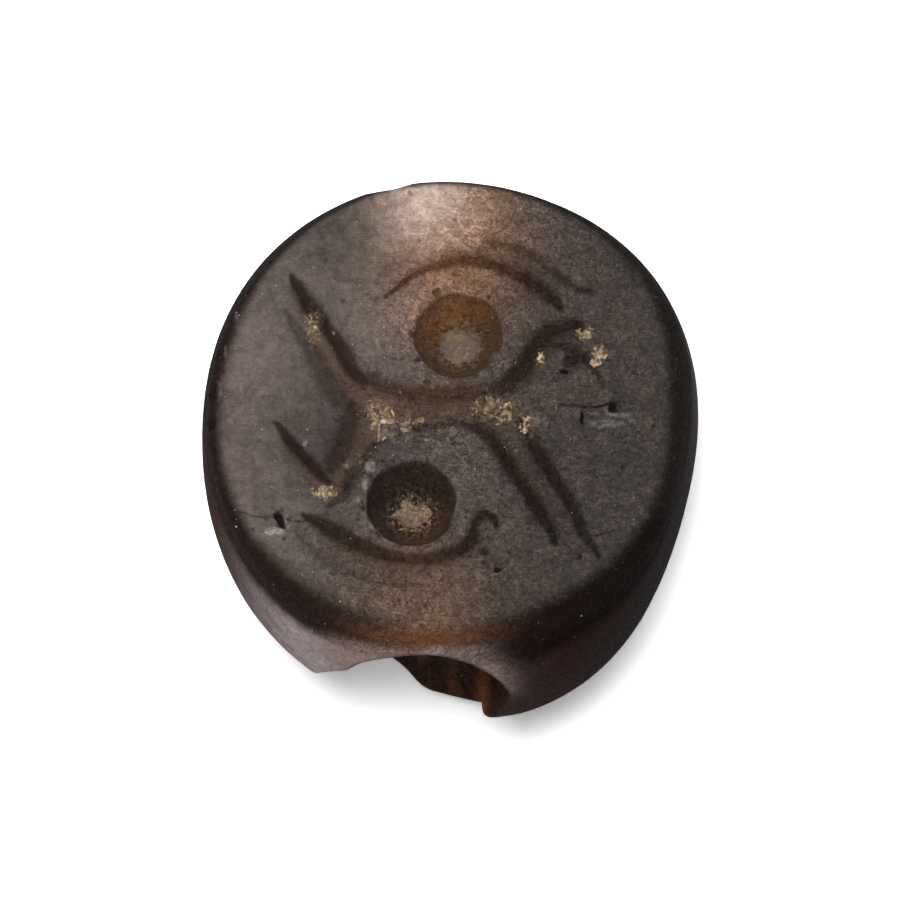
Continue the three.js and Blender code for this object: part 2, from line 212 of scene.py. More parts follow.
# Cracks: rows of x, y, width and depth
CRACKS = [
    [
        (3.5, 0.35, 0.03, 0.01), (4.4, 0.16, 0.06, 0.06), (5.1, 0.1, 0.09, 0.1), (5.9, 0.02, 0.12, 0.14),
        (6.5, 0.16, 0.12, 0.12), (7.4, 0.24, 0.05, 0.05), (8.4, 0.2, 0.03, 0.02),
    ],
    [
        (-9.3, -4.1, 0.04, 0.03), (-8.7, -4.3, 0.07, 0.06), (-7.8, -4.6, 0.07, 0.06),
        (-7.0, -4.6, 0.08, 0.08),
    ],
    [
        (-6.4, -4.75, 0.09, 0.07), (-6.0, -4.85, 0.07, 0.05), (-5.5, -4.8, 0.05, 0.04),
    ],
    [
        (5.55, -5.38, 0.06, 0.06), (6.0, -5.4, 0.09, 0.08), (6.6, -5.22, 0.08, 0.06),
        (7.2, -5.08, 0.03, 0.02),
    ],
    [
        (-3.2, -1.9, 0.06, 0.05), (-2.9, -1.6, 0.08, 0.06), (-2.3, -1.35, 0.08, 0.06),
        (-1.9, -1.1, 0.05, 0.04),
    ],
]

# Pits: x, y, half sizes, turn in degrees, depth and how dark their painted shade is
PITS = [
    (-6.75, -4.72, 0.22, 0.5, 20, 0.5, 1.0),
    (5.42, -0.4, 0.09, 0.36, 8, 0.3, 1.0),
    (6.6, 0.02, 0.2, 0.28, 0, 0.3, 0.9),
    (4.7, 1.55, 0.2, 0.2, 0, 0.25, 0.95),
    (4.95, 2.05, 0.5, 0.38, 20, 0.12, 0.75),
    (1.93, -6.88, 0.17, 0.12, 0, 0.25, 0.9),
    (1.5, -6.15, 0.35, 0.25, -30, 0.14, 0.6),
    (-0.82, 1.12, 0.2, 0.17, 0, 0.16, 0.6),
    (-3.0, 1.42, 0.38, 0.16, -15, 0.14, 0.7),
    (-3.5, 1.5, 0.16, 0.14, 0, 0.1, 0.6),
    (-0.45, 4.9, 0.13, 0.22, 0, 0.14, 0.6),
    (-1.42, 3.15, 0.2, 0.12, 0, 0.12, 0.6),
    (-1.2, 2.05, 0.18, 0.15, 30, 0.14, 0.7),
    (0.2, 1.3, 0.22, 0.1, 0, 0.1, 0.5),
    (1.1, 1.35, 0.2, 0.12, 20, 0.1, 0.5),
    (-3.45, -4.2, 0.14, 0.26, 15, 0.2, 0.8),
    (-2.85, -5.35, 0.1, 0.16, 0, 0.12, 0.8),
    (-1.85, -5.88, 0.16, 0.1, 0, 0.1, 0.6),
    (-0.85, -5.85, 0.13, 0.09, 0, 0.08, 0.5),
    (-4.05, -3.35, 0.14, 0.22, 0, 0.14, 0.8),
    (5.3, -6.4, 0.2, 0.14, 30, 0.06, 0.5),
    (6.7, -0.85, 0.5, 0.12, 10, 0.04, 0.0),
]

# Pale scuffs where the surface is bruised: x, y, half sizes and strength
SCUFFS = [
    (6.4, -0.7, 1.0, 0.22, 0.55),
    (6.9, -0.35, 0.7, 0.12, 0.55),
    (5.9, -0.25, 0.35, 0.06, 0.5),
    (7.4, -0.55, 0.3, 0.15, 0.45),
    (-7.0, -5.25, 0.5, 0.22, 1.0),
    (-6.5, -4.95, 0.12, 0.3, 0.6),
    (3.45, -0.5, 0.4, 0.2, 0.4),
    (-1.65, -0.92, 0.25, 0.13, 0.9),
    (-0.9, -1.4, 0.14, 0.09, 0.9),
    (-0.36, 5.16, 0.2, 0.12, 0.9),
    (1.4, 1.45, 0.25, 0.16, 0.6),
    (1.95, 2.2, 0.3, 0.3, 0.4),
    (-3.1, -2.5, 0.3, 0.35, 0.8),
    (-3.35, -3.2, 0.14, 0.45, 0.6),
    (-4.1, -2.35, 0.13, 0.1, 0.8),
    (-5.7, -1.55, 0.08, 0.14, 0.7),
    (-3.55, -4.0, 0.1, 0.25, 0.8),
    (3.6, -6.05, 0.12, 0.06, 0.9),
    (1.9, -7.05, 0.2, 0.07, 0.8),
    (2.7, -1.8, 0.12, 0.1, 0.6),
    (-4.6, 3.25, 0.1, 0.09, 0.9),
    (-0.5, -10.1, 0.5, 0.35, 0.7),
    (-9.2, 0.75, 0.14, 0.4, 0.3),
    (-9.0, 2.4, 0.1, 0.35, 0.3),
    (-8.5, 3.95, 0.12, 0.3, 0.3),
]

# Broad shades of the face: x, y, spread, and how much darker (or, below 0, lighter)
SHADES = [
    (-4.3, -1.3, 2.6, 0.3),
    (-4.6, -6.4, 2.6, 0.05),
    (-1.6, 3.4, 1.6, -0.22),
    (-9.0, 1.5, 1.6, -0.14),
    (-4.6, 7.8, 1.9, 0.2),
    (0.8, -2.6, 1.3, -0.1),
]

# Earth dust beside the crusts: x, y, half sizes and strength
DUST = [
    (-2.1, -1.2, 1.3, 0.55, 0.8),
    (0.4, -0.35, 1.6, 0.5, 0.5),
    (3.3, -0.7, 0.6, 1.1, 0.7),
    (-3.4, -2.4, 0.6, 1.1, 0.6),
    (-3.0, -5.0, 0.7, 0.5, 0.5),
    (-5.4, 3.6, 0.5, 1.1, 0.7),
    (5.6, 1.0, 1.2, 0.7, 0.4),
    (-1.4, -4.0, 1.5, 1.5, 0.45),
]

# Pockmarks from wear: x, y, spread and number of pits
POCKMARKS = [
    (0.0, 0.0, 6.0, 160),
    (6.2, -0.4, 1.1, 40),
    (-6.8, -4.9, 0.6, 24),
    (0.4, 3.1, 2.3, 40),
    (-1.5, -4.3, 2.2, 50),
    (-3.4, -2.2, 1.0, 40),
    (2.0, -6.4, 0.9, 26),
    (5.0, 2.2, 0.8, 26),
    (-3.0, 1.2, 0.7, 24),
]
POCKMARK_SIZES = (0.035, 0.11)

# Width of the band of painted shade inside the rim, every 30 degrees counterclockwise from +X
RIM_SHADE_BAND = [0.85, 0.7, 0.5, 0.4, 0.4, 0.65, 0.8, 0.75, 1.3, 0.95, 1.1, 1.0]

# Crusts: for each node, patches as x, y, half sizes, thickness, number of grains, how
# pale, and how much of the patch is covered under the grains
CRUSTS = {
    "crust_upper_cup": [
        (UPPER_CUP[0] + 0.1, UPPER_CUP[1] - 0.2, 0.92, 0.88, 0.13, 45, 0.24, 1.0),
    ],
    "crust_lower_cup": [
        (LOWER_CUP[0] + 0.1, LOWER_CUP[1] - 0.2, 0.86, 0.8, 0.12, 170, 0.4, 0.5),
    ],
    "crust_bar_left": [
        (-2.6, -0.55, 0.45, 0.8, 0.13, 150, 0.6, 0.35),
        (-3.0, 0.05, 0.35, 0.4, 0.05, 40, 0.5, 0.2),
        (-1.05, -0.45, 0.25, 0.16, 0.07, 22, 0.6, 0.4),
        (-1.9, -0.6, 0.6, 0.35, 0.03, 40, 0.5, 0.0),
    ],
    "crust_bar_right": [
        (1.55, 0.1, 0.65, 0.6, 0.05, 80, 0.42, 0.0),
        (2.35, -0.1, 0.6, 0.6, 0.05, 80, 0.48, 0.0),
        (3.1, -0.5, 0.25, 0.5, 0.05, 40, 0.65, 0.2),
    ],
    "crust_limb_upper_right": [
        (5.5, 3.2, 0.4, 0.25, 0.06, 50, 0.55, 0.2),
        (6.05, 2.35, 0.35, 0.3, 0.06, 50, 0.6, 0.2),
        (5.95, 1.9, 0.24, 0.14, 0.05, 22, 0.7, 0.2),
        (3.7, 2.2, 0.16, 0.4, 0.03, 14, 0.75, 0.0),
    ],
    "crust_limb_lower_left": [
        (-4.95, -3.55, 0.5, 0.3, 0.07, 80, 0.66, 0.3),
    ],
    "crust_limb_upper_left": [
        (-5.45, 3.55, 0.28, 0.7, 0.05, 60, 0.62, 0.1),
    ],
}
GRAIN_SIZES = (0.03, 0.085)
CRUST_WANDER = ((0.35, 0.12), (0.15, 0.06))
CRUST_UNDER = 0.08  # how far its underside lies below the floor of the engraving
CRUST_LOWEST = -0.04  # how far its thin edge may dip below that floor
CRUST_SHOWN = -0.02  # where it is lower than this, there is no crust
FACE_CLEARANCE = 0.005  # between a crust's top and the level of the face

# Relief map of the face
MAP_STEP = 0.02
MAP_HALF = 10.8
map_axis = np.arange(-MAP_HALF, MAP_HALF + MAP_STEP / 2, MAP_STEP)
MAP_X, MAP_Y = np.meshgrid(map_axis, map_axis, indexing="ij")
ROUTE_SAMPLES = 22  # samples between two rows of a route
EDGE_WANDER = ((0.9, 0.05), (0.3, 0.03))  # how far hand-cut edges stray, by scale
PIT_WANDER = ((0.3, 0.04), (0.12, 0.04))

# Fineness of the meshes
GRID_STEP = 0.075
GRID_MARGIN = 0.3
GRID_SHIFT = 0.013  # keeps the grid's planes off the stone's flats
NET_LAYERS = 12  # how many slabs the grid is worked out in, to save memory
STONE_FACES = 190000
PLAIN_DEPTH = 1.2  # below this depth the mesh is thinned more
PLAIN_FACTOR = 6
SKIN_INSET = 0.01  # how far in the skin lies, before its unevenness
SWELL = (0.01, 2.3)  # height and scale of the skin's slow unevenness
ROUGH = (0.006, 0.7)  # the same for its fine unevenness
CRUST_STEP = 0.024
GRADIENT_STEP = 0.006

# Studio
SKY_EDGE = 0.07
SKY_TOP = 0.26
LAMPS = [  # place, diameter and power
    ("top_light", (-24, -34, 250), 125, 0.56),
    ("softbox", (0, 170, 225), 420, 0.46),
    ("left_fill", (-130, -290, 110), 150, 0.5),
]
FLOOR_GREY = 0.15  # what the floor gives back to the stone
FLOOR_SHOWN = 1.7  # how strongly the camera sees its light, so that it is white
FLOOR_LIFT = 0.02  # light of its own that the camera sees
FLOOR_HALF = 400.0
FLOOR_DROP = 0.005

# Photograph's view
VIEW_ELEVATION = math.radians(70)
PICTURE_WIDTH = 900  # pixels
PIXELS_PER_MM = 24.95  # at the engraved face
VIEW_WIDTH = PICTURE_WIDTH / PIXELS_PER_MM
VIEW_TARGET = (0.08, -1.8, STONE_HEIGHT)
VIEW_DISTANCE = 1500.0
SENSOR_WIDTH = 36.0
VIEW_CLIP = (0.01, 10)  # metres


def smooth_step(value):
    value = np.clip(value, 0, 1)
    return value * value * (3 - 2 * value)


def bell(values, middle, spread):
    return np.exp(-(((values - middle) / spread) ** 2))


def smooth_max(first, second, blend):
    near = np.clip(blend - np.abs(first - second), 0, None) / blend
    return np.maximum(first, second) + near * near * blend / 4


class Noise:
    """Smooth random values from -1 to 1 at points in space, the same on every run."""

    SIDE = 32

    def __init__(self, seed):
        lattice = np.random.default_rng(seed).uniform(-1, 1, (self.SIDE,) * 3)
        self.lattice = lattice.astype(np.float32)

    def __call__(self, x, y, z, scale):
        places = [np.asarray(value) / scale for value in (x, y, z)]
        cells = [np.floor(place).astype(int) for place in places]
        shares = [smooth_step(place - cell) for place, cell in zip(places, cells)]
        total = 0
        for corner in np.ndindex(2, 2, 2):
            index = tuple((cell + step) % self.SIDE for cell, step in zip(cells, corner))
            weight = 1
            for share, step in zip(shares, corner):
                weight = weight * (share if step else 1 - share)
            total = total + weight * self.lattice[index]
        return total


wander_x, wander_y, swell, grain = (Noise(seed) for seed in range(4))


def around_outline(values, angle):
    """Smooth closed curve through values given at equal angles."""
    count = len(values)
    total = np.zeros_like(angle)
    for index, value in enumerate(values):
        offset = angle - TURN * index / count
        half = np.sin(offset / 2)
        flat = np.abs(half) < 1e-6
        weight = np.sin(count * offset / 2) * np.cos(offset / 2) / (count * np.where(flat, 1, half))
        total += value * np.where(flat, 1, weight)
    return total


OUTLINE_ANGLES = np.linspace(0, TURN, 1441)
ellipse = np.hypot(STONE_WIDTH / 2 * np.cos(OUTLINE_ANGLES), STONE_LENGTH / 2 * np.sin(OUTLINE_ANGLES))
GIRTH_OUTLINE = ellipse * around_outline(GIRTH_LOBES, OUTLINE_ANGLES)
FACE_OUTLINE = GIRTH_OUTLINE - around_outline(FACE_INSETS, OUTLINE_ANGLES)


def spline(rows):
    """Points of a route, on a smooth curve through its rows."""
    rows = np.array(rows, float)
    ends = np.vstack([2 * rows[0] - rows[1], rows, 2 * rows[-1] - rows[-2]])
    steps = np.linspace(0, 1, ROUTE_SAMPLES, endpoint=False)[:, None]
    parts = []
    for a, b, c, d in zip(ends, ends[1:], ends[2:], ends[3:]):
        bend = (2 * a - 5 * b + 4 * c - d) * steps**2 + (3 * b - a - 3 * c + d) * steps**3
        parts.append(b + ((c - a) * steps + bend) / 2)
    return np.vstack(parts + [rows[-1:]])


def near_route(rows, margin, warp_x, warp_y):
    """Part of the map near a route, with each point's offset and the route's width and depth."""
    points = spline(rows)
    low, high = points[:, :2].min(0) - margin, points[:, :2].max(0) + margin
    first, last = ((value + MAP_HALF) / MAP_STEP for value in (low, high))
    part = tuple(slice(max(int(a), 0), int(b) + 1) for a, b in zip(first, last))
    x, y = warp_x[part], warp_y[part]
    distance = np.full(x.shape, np.inf)
    nearest = np.zeros(x.shape, int)
    for index, (px, py) in enumerate(points[:, :2]):
        reach = (x - px) ** 2 + (y - py) ** 2
        closer = reach < distance
        distance[closer] = reach[closer]
        nearest[closer] = index
    heading = np.gradient(points[:, :2], axis=0)
    side = heading[nearest, 0] * (y - points[nearest, 1]) - heading[nearest, 1] * (x - points[nearest, 0])
    offset = np.sqrt(distance) * np.sign(side)
    return part, offset, points[nearest, 2], points[nearest, 3]


def oval(x, y, place, sizes, turn=0.0):
    """Distance from the middle of an oval, where 1 is its edge."""
    angle = math.radians(turn)
    dx, dy = x - place[0], y - place[1]
    across = dx * math.cos(angle) + dy * math.sin(angle)
    along = dy * math.cos(angle) - dx * math.sin(angle)
    return np.hypot(across / sizes[0], along / sizes[1])


def inside_oval(x, y, place, sizes, turn=0.0):
    """From 1 in the middle of an oval to 0 at its edge, and 0 past it."""
    return np.clip(1 - oval(x, y, place, sizes, turn), 0, 1)


def cup_depth(x, y, place):
    reach = np.hypot(x - place[0], y - place[1])
    wall = np.clip((reach - CUP_FLAT_RADIUS) / (CUP_RADIUS + 0.06 - CUP_FLAT_RADIUS), 0, 1)
    return CUP_DEPTH * (1 - wall**2) ** 0.85


def soften(values, times):
    for _ in range(times):
        for axis in (0, 1):
            values = (np.roll(values, 1, axis) + 2 * values + np.roll(values, -1, axis)) / 4
    return values


def strayed(wander, x, y):
    """Places moved a little to and fro, so that edges cut from them look hand-made."""
    moves = [sum(noise(x, y, 0, scale) * reach for scale, reach in wander)
             for noise in (wander_x, wander_y)]
    return x + moves[0], y + moves[1]


def carve_grooves(x, y):
    """Depth of the engraved strokes and cracks, and how dark their painted shade is."""
    channels, cuts, dark = (np.zeros_like(x) for _ in range(3))
    for (left, right), rows in CHANNELS.values():
        part, offset, width, depth = near_route(rows, CHANNEL_REACH, x, y)
        shape = smooth_step((width / 2 - offset) / left) * smooth_step((width / 2 + offset) / right)
        channels[part] = np.maximum(channels[part], depth * shape)
    for strength, rows in CUTS.values():
        part, offset, width, depth = near_route(rows, CUT_REACH, x, y)
        share = np.clip(1 - np.abs(offset) / (0.75 * width), 0, 1)
        cuts[part] = np.maximum(cuts[part], CUT_SHARE * depth * smooth_step(share))
        # Painted shade along the cut
        tone = strength * np.minimum(1.35 * bell(offset, 0, 0.66 * width + 0.04), 1)
        dark[part] = np.maximum(dark[part], tone)
    for rows in CRACKS:
        part, offset, width, depth = near_route(rows, CRACK_REACH, x, y)
        share = np.clip(1 - np.abs(offset) / (width / 2), 0, 1)
        cuts[part] = np.maximum(cuts[part], depth * share)
        # Painted shade in the crack
        dark[part] = np.maximum(dark[part], smooth_step(share * 2))
    return channels, cuts, dark


def drill_cups(x, y, depth, dark):
    """The face's depth and painted line shade with its cups, and where these are bowls or get a painted
    amber glow of light coming through.
    """
    bowl, amber = np.zeros_like(x), np.zeros_like(x)
    for place, glow_strength, toward in ((UPPER_CUP, 1.0, (-0.4, 0.9)), (LOWER_CUP, 0.25, (0.6, -0.7))):
        hollow = cup_depth(x, y, place)
        depth = np.maximum(depth, hollow)
        bowl = np.maximum(bowl, smooth_step(hollow / 0.22))
        dark = np.where(hollow > 0, 0, dark)
        reach = np.hypot(x - place[0], y - place[1])
        side = (toward[0] * (x - place[0]) + toward[1] * (y - place[1])) / CUP_RADIUS
        ring = smooth_step((CUP_RADIUS + 0.15 - reach) / 0.5) * smooth_step((reach - 0.4) / 0.5)
        # Painted amber glow on the wall towards the light, where light comes through
        amber = np.maximum(amber, glow_strength * ring * smooth_step(0.18 + 0.85 * side))
    return depth, dark, bowl, amber


def wear_face(x, y, depth, dark):
    """The face's depth and painted shade with its pits and pockmarks."""
    for px, py, half_x, half_y, turn, deep, tone in PITS:
        share = inside_oval(x, y, (px, py), (half_x, half_y), turn)
        depth = depth + deep * smooth_step(share * 1.6)
        # Painted shade in the pit
        dark = np.maximum(dark, tone * smooth_step(share * 2.4))
    chance = np.random.default_rng(7)
    for px, py, spread, count in POCKMARKS:
        for _ in range(count):
            spot = chance.normal((px, py), spread)
            size = chance.uniform(*POCKMARK_SIZES)
            first = np.clip(((spot - 0.3 + MAP_HALF) / MAP_STEP).astype(int), 0, len(map_axis) - 40)
            part = tuple(slice(start, start + 31) for start in first)
            share = inside_oval(x[part], y[part], spot, (size, size))
            depth[part] = depth[part] + 0.7 * size * smooth_step(share * 1.5)
            # Painted shade in the pockmark
            dark[part] = np.maximum(dark[part], 0.6 * smooth_step(share * 2))
    return depth, dark


def bruise_and_dust(x, y):
    """How pale the face is bruised, and how dusty it is around the crusts."""
    pale, dust = np.zeros_like(x), np.zeros_like(x)
    for px, py, half_x, half_y, strength in SCUFFS:
        share = inside_oval(x, y, (px, py), (half_x, half_y))
        pale = np.maximum(pale, strength * smooth_step(share * 2))
    for patches in CRUSTS.values():
        for px, py, half_x, half_y, *_ in patches:
            share = inside_oval(x, y, (px, py), (1.6 * half_x, 1.6 * half_y))
            dust = np.maximum(dust, smooth_step(share * 1.8))
    for px, py, half_x, half_y, strength in DUST:
        share = inside_oval(x, y, (px, py), (half_x, half_y))
        dust = np.maximum(dust, strength * smooth_step(share * 1.5))
    return pale, dust


def carve_face():
    """Maps of the face: how deep it is cut, its painted shade, its painted amber glow in the cups, and how
    pale or dusty it is.
    """
    x, y = strayed(EDGE_WANDER, MAP_X, MAP_Y)
    channels, cuts, dark = carve_grooves(x, y)
    depth, dark, bowl, amber = drill_cups(x, y, channels + cuts, dark)
    x, y = strayed(PIT_WANDER, x, y)
    depth, dark = wear_face(x, y, depth, dark)
    pale, dust = bruise_and_dust(x, y)
    return {
        "depth": soften(depth, 2),
        "trough": smooth_step(channels / 0.2),
        "dark": soften(dark, 1),
        "pale": pale,
        "bowl": soften(bowl, 1),
        "amber": amber,
        "dust": dust,
        "shade": sum(much * bell(np.hypot(x - px, y - py), 0, spread) for px, py, spread, much in SHADES),
    }


FACE_MAPS = carve_face()


def read_map(name, x, y):
    """Value of a face map at points, from the four map points around each."""
    values = FACE_MAPS[name]
    places = [np.clip((value + MAP_HALF) / MAP_STEP, 0, len(map_axis) - 2) for value in (x, y)]
    (row, column) = (place.astype(int) for place in places)
    down, across = places[0] - row, places[1] - column
    near = values[row, column] * (1 - across) + values[row, column + 1] * across
    far = values[row + 1, column] * (1 - across) + values[row + 1, column + 1] * across
    return near * (1 - down) + far * down


def bore_place(x, y):
    across = math.cos(BORE_TURN) * (x - BORE_OFFSET) + math.sin(BORE_TURN) * y
    along = math.cos(BORE_TURN) * y - math.sin(BORE_TURN) * (x - BORE_OFFSET)
    return across, along


def bore_distance(x, y, z):
    """Depth inside the bore: positive in the bore, negative in the stone."""
    across, along = bore_place(x, y)
    opening = np.clip(np.abs(along) / (STONE_LENGTH / 2), 0, 1.3) ** BORE_MOUTH_POWER
    radius = BORE_WAIST_RADIUS + (BORE_MOUTH_RADIUS - BORE_WAIST_RADIUS) * opening
    return radius - np.hypot(across, z - BORE_LEVEL)


def blank_distance(x, y, z):
    angle = np.arctan2(y, x) % TURN
    reach = np.hypot(x, y)
    girth = np.interp(angle, OUTLINE_ANGLES, GIRTH_OUTLINE)
    face = np.interp(angle, OUTLINE_ANGLES, FACE_OUTLINE)
    rise = np.clip((z - GIRTH_LEVEL) / (GIRTH_DROP - EDGE_RADIUS), 0, None)
    flank = reach - (girth - (girth - face) * rise**FLANK_POWER)
    beyond = girth - BACK_FLAT_RADIUS
    out = np.clip(reach - BACK_FLAT_RADIUS, 0, None) / beyond
    down = np.clip((GIRTH_LEVEL - z) / GIRTH_LEVEL, 0, None)
    back = ((out**BACK_POWER + down**BACK_POWER) ** (1 / BACK_POWER) - 1) * beyond
    return np.where(z > GIRTH_LEVEL, flank, back)


def hollow_distance(x, y, z, centre, radii):
    """Depth inside a rounded hollow, positive inside it."""
    reach = np.sqrt(sum(((value - middle) / radius) ** 2
                        for value, middle, radius in zip((x, y, z), centre, radii)))
    return (1 - reach) * min(radii)


def stone_distance(x, y, z):
    """Distance from the stone's surface, negative inside the stone."""
    face = z - STONE_HEIGHT + read_map("depth", x, y)
    worn = smooth_step((-y - 3.5) / 5.5) * smooth_step((x + 8) / 4)
    worn = np.maximum(worn, 0.7 * smooth_step((x - 3) / 4))
    blend = EDGE_BLEND + (FRONT_BLEND - EDGE_BLEND) * worn
    distance = smooth_max(blank_distance(x, y, z), face, blend)
    distance = smooth_max(distance, bore_distance(x, y, z), LIP_BLEND)
    across, along = bore_place(x, y)
    for beside, past, below, lean, turn, radii, edge in BREAKS:
        lean, turn = math.radians(lean), math.radians(turn)
        dx, dy, dz = across - beside, along + STONE_LENGTH / 2 + past, z - BORE_LEVEL + below
        level = math.cos(turn) * dx + math.sin(turn) * dy
        place = (math.cos(lean) * level - math.sin(lean) * dz,
                 math.cos(turn) * dy - math.sin(turn) * dx,
                 math.cos(lean) * dz + math.sin(lean) * level)
        distance = smooth_max(distance, hollow_distance(*place, (0, 0, 0), radii), edge)
    for px, py, drop, *radii in RIM_FLAKES:
        hollow = hollow_distance(x, y, z, (px, py, STONE_HEIGHT - drop), radii)
        distance = smooth_max(distance, hollow, 0.06)
    return distance


def net_vertices(values, cells):
    """Place of a vertex in each cell, in grid steps, from where its edges cross the surface."""
    corners = list(np.ndindex(2, 2, 2))
    at_corner = {c: values[tuple((cells + c).T)] for c in corners}
    total = np.zeros((len(cells), 3))
    crossings = np.zeros(len(cells))
    for first in corners:
        for axis in range(3):
            if first[axis]:
                continue
            second = tuple(1 if i == axis else c for i, c in enumerate(first))
            a, b = at_corner[first], at_corner[second]
            crossed = (a < 0) != (b < 0)
            share = np.where(crossed, a / np.where(crossed, a - b, 1), 0)
            spot = np.array(first, float) + share[:, None] * np.eye(3)[axis]
            total += np.where(crossed[:, None], spot, 0)
            crossings += crossed
    return cells + total / crossings[:, None]


def net_quads(inside, number):
    """Quads between the four cells around each grid edge that crosses the surface."""
    quads = []
    for axis in range(3):
        ahead = [slice(1, -1)] * 3
        behind = [slice(1, -1)] * 3
        ahead[axis], behind[axis] = slice(1, None), slice(None, -1)
        change = inside[tuple(behind)].astype(np.int8) - inside[tuple(ahead)]
        edges = np.argwhere(change != 0)
        leaving = change[tuple(edges.T)] > 0
        other = [i for i in range(3) if i != axis]
        start = edges.copy()
        start[:, other] += 1
        ring = []
        for first, second in ((0, 0), (1, 0), (1, 1), (0, 1)):
            cell = start.copy()
            cell[:, other[0]] -= 1 - first
            cell[:, other[1]] -= 1 - second
            ring.append(number[tuple(cell.T)])
        ring = np.stack(ring, axis=1)
        flip = leaving if axis == 1 else ~leaving
        ring[flip] = ring[flip][:, ::-1]
        quads.append(ring)
    return np.vstack(quads)


def surface_net(low, high, step):
    """Vertices and quads of the surface where stone_distance changes sign, on a regular grid."""
    axes = [np.arange(a, b, step) for a, b in zip(low, high)]
    x, y = axes[0][:, None, None], axes[1][None, :, None]
    slabs = np.array_split(axes[2][None, None, :], NET_LAYERS, axis=2)
    values = np.concatenate([stone_distance(x, y, z) for z in slabs], axis=2).astype(np.float32)
    inside = values < 0
    shape = tuple(side - 1 for side in values.shape)
    count = sum(inside[tuple(slice(c, c + side) for c, side in zip(corner, shape))].astype(np.uint8)
                for corner in np.ndindex(2, 2, 2))
    cells = np.argwhere((count > 0) & (count < 8))
    number = np.full(shape, -1, np.int32)
    number[tuple(cells.T)] = np.arange(len(cells))
    vertices = net_vertices(values, cells) * step + [axis[0] for axis in axes]
    return vertices, net_quads(inside, number)


def gradient(points):
    columns = []
    for axis in range(3):
        step = np.zeros(3)
        step[axis] = GRADIENT_STEP
        ahead, behind = (stone_distance(*(points + sign * step).T) for sign in (1, -1))
        columns.append((ahead - behind) / (2 * GRADIENT_STEP))
    return np.stack(columns, axis=1)


def onto_surface(points, times):
    for _ in range(times):
        slope = gradient(points)
        length = np.maximum((slope**2).sum(1), 0.25)
        move = slope * (stone_distance(*points.T) / length)[:, None]
        reach = np.linalg.norm(move, axis=1, keepdims=True)
        points = points - move * np.minimum(1, GRID_STEP / 2 / np.maximum(reach, 1e-9))
    return points


def new_mesh(name, vertices, faces):
    mesh = bpy.data.meshes.new(name)
    mesh.from_pydata(np.asarray(vertices * MM), [], faces)
    mesh.update()
    piece = bpy.data.objects.new(name, mesh)
    bpy.context.scene.collection.objects.link(piece)
    mesh.polygons.foreach_set("use_smooth", np.ones(len(mesh.polygons), bool))
    return piece


def mesh_points(piece):
    points = np.zeros(len(piece.data.vertices) * 3)
    piece.data.vertices.foreach_get("co", points)
    return points.reshape(-1, 3) / MM


def set_points(piece, points):
    piece.data.vertices.foreach_set("co", (points * MM).ravel())
    piece.data.update()


def set_values(piece, name, values):
    layer = piece.data.attributes.new(name, "FLOAT", "POINT")
    layer.data.foreach_set("value", np.asarray(values, np.float32))


def apply_modifiers(piece):
    bpy.context.view_layer.update()
    graph = bpy.context.evaluated_depsgraph_get()
    mesh = bpy.data.meshes.new_from_object(piece.evaluated_get(graph))
    old = piece.data
    piece.modifiers.clear()
    piece.data = mesh
    bpy.data.meshes.remove(old)
    mesh.name = piece.name


def toward_face(z, below, over):
    """Share that grows from 0, at a depth below the face, to 1 over the next stretch up."""
    return smooth_step((z - STONE_HEIGHT + below) / over)


def painted_glow_shares(x, y, inside):
    """Painted glow of the far end, near end and waist, and painted ember glow of the near rim,
    where light comes through the thin stone."""
    far_end = bell(x, 0.3, 2.5) * smooth_step((y - 0.3) / 7)
    near_end = 0.8 * bell(x, -1.2, 2.7) * smooth_step((-y - 3.5) / 4.5)
    near_end = np.maximum(near_end, bell(x, -0.9, 2.2) * smooth_step((-y - 7.3) / 1.6))
    waist = 0.4 * bell(x, -0.3, 2.2) * bell(y, 0.4, 0.9)
    glow = np.maximum(np.maximum(far_end, 0.6 * near_end), waist)
    ember = bell(x, -0.8, 2.3) * bell(inside, 0.2, 0.28) * smooth_step(-y - 7)
    return glow, ember


def rim_shade_share(x, y, inside, angle):
    """The band of painted shade inside the rim, weaker over the mouth and on the right."""
    width = around_outline(RIM_SHADE_BAND, angle)
    band = smooth_step((1.15 * width - inside) / (0.75 * width + 0.1))
    near_mouth = bell(x, -0.6, 2.2) * smooth_step(-y - 7)
    on_right = 0.15 * smooth_step((x - 3) / 4) * smooth_step((y + 6) / 4)
    return band * (1 - 0.8 * near_mouth) * (1 - on_right)


